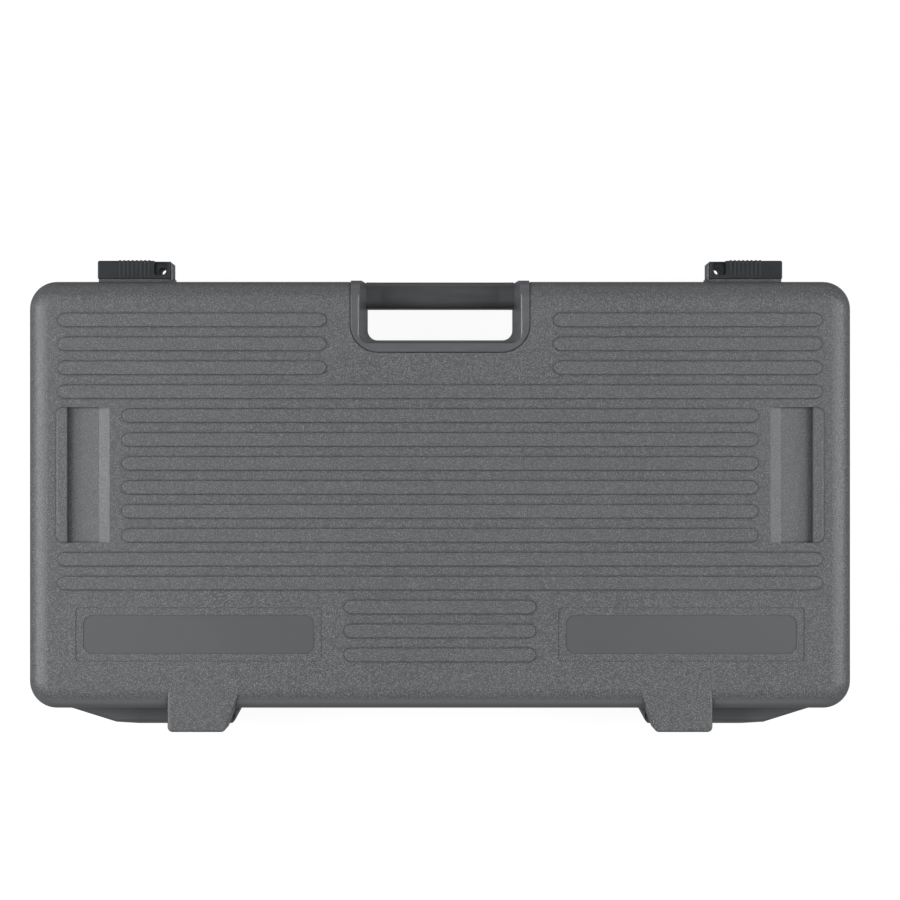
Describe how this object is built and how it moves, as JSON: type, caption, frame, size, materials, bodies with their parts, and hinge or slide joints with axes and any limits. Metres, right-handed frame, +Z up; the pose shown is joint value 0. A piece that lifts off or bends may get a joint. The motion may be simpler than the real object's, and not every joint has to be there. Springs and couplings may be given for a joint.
{
  "type": "pedalboard carry case",
  "caption": "Moulded carry case pedalboard for effects pedals, with a hinged lift-off lid, sliding latches, built-in handle and foam bays.",
  "frame": {"origin": "middle of the underside of the rubber feet, under the centre of the case", "axes": "+X along the long side, +Y towards the handle, +Z up through the lid"},
  "size_m": [0.66, 0.38, 0.1344],
  "materials": {
    "case_base": "grained",
    "case_lid": "grained",
    "handle_surround": "satin",
    "handle_grip": "satin",
    "latch_black": "satin",
    "screw_steel": "satin",
    "pin_steel": "ground",
    "rail_steel": "satin",
    "rubber": "matte",
    "foam": "matte open-cell",
    "box_plastic": "matte",
    "cover_metal": "powder coat",
    "socket_black": "smooth",
    "nickel": "nickel plate",
    "board": "solder mask"
  },
  "bodies": {
    "base": {"base_shell": "case_base", "handle_housing": "handle_surround", "handle_grip": "handle_grip", "handle_screws": "screw_steel", "latch_screws": "screw_steel", "foot_screws": "screw_steel", "junction_screws": "screw_steel", "latch_nuts": "screw_steel", "jack_nuts": "nickel", "foam_floor": "foam", "foam_surround": "foam", "foam_divider_left": "foam", "foam_divider_right": "foam", "junction_box": "box_plastic", "junction_cover": "cover_metal", "power_outlets": "socket_black", "power_inlet": "socket_black", "circuit_board": "board", "latch_rail_left": "rail_steel", "latch_spring_left": "pin_steel", "latch_rail_right": "rail_steel", "latch_spring_right": "pin_steel", "rubber_foot_1": "rubber", "rubber_foot_2": "rubber", "rubber_foot_3": "rubber", "rubber_foot_4": "rubber", "rubber_foot_5": "rubber", "rubber_foot_6": "rubber", "jack_input": "nickel", "jack_send": "nickel", "jack_return": "nickel", "jack_output": "nickel"},
    "hinge_pins": {"hinge_pin_left": "pin_steel", "hinge_pin_right": "pin_steel"},
    "lid": {"lid_shell": "case_lid", "lid_foam": "foam"},
    "latch_left": {"latch_slider_left": "latch_black"},
    "latch_right": {"latch_slider_right": "latch_black"}
  },
  "joints": [
    {"name": "lid_hinge", "type": "hinge", "parent": "base", "child": "hinge_pins", "pos_m": [0, -0.181, 0.078], "axis": [1, 0, 0], "range_deg": [0, 110]},
    {"name": "lid_lift_off", "type": "slide", "parent": "hinge_pins", "child": "lid", "axis": [0, 0, 1], "range_m": [0, 0.15]},
    {"name": "latch_left_slide", "type": "slide", "parent": "base", "child": "latch_left", "axis": [-1, 0, 0], "range_m": [0, 0.012]},
    {"name": "latch_right_slide", "type": "slide", "parent": "base", "child": "latch_right", "axis": [1, 0, 0], "range_m": [0, 0.012]}
  ]
}
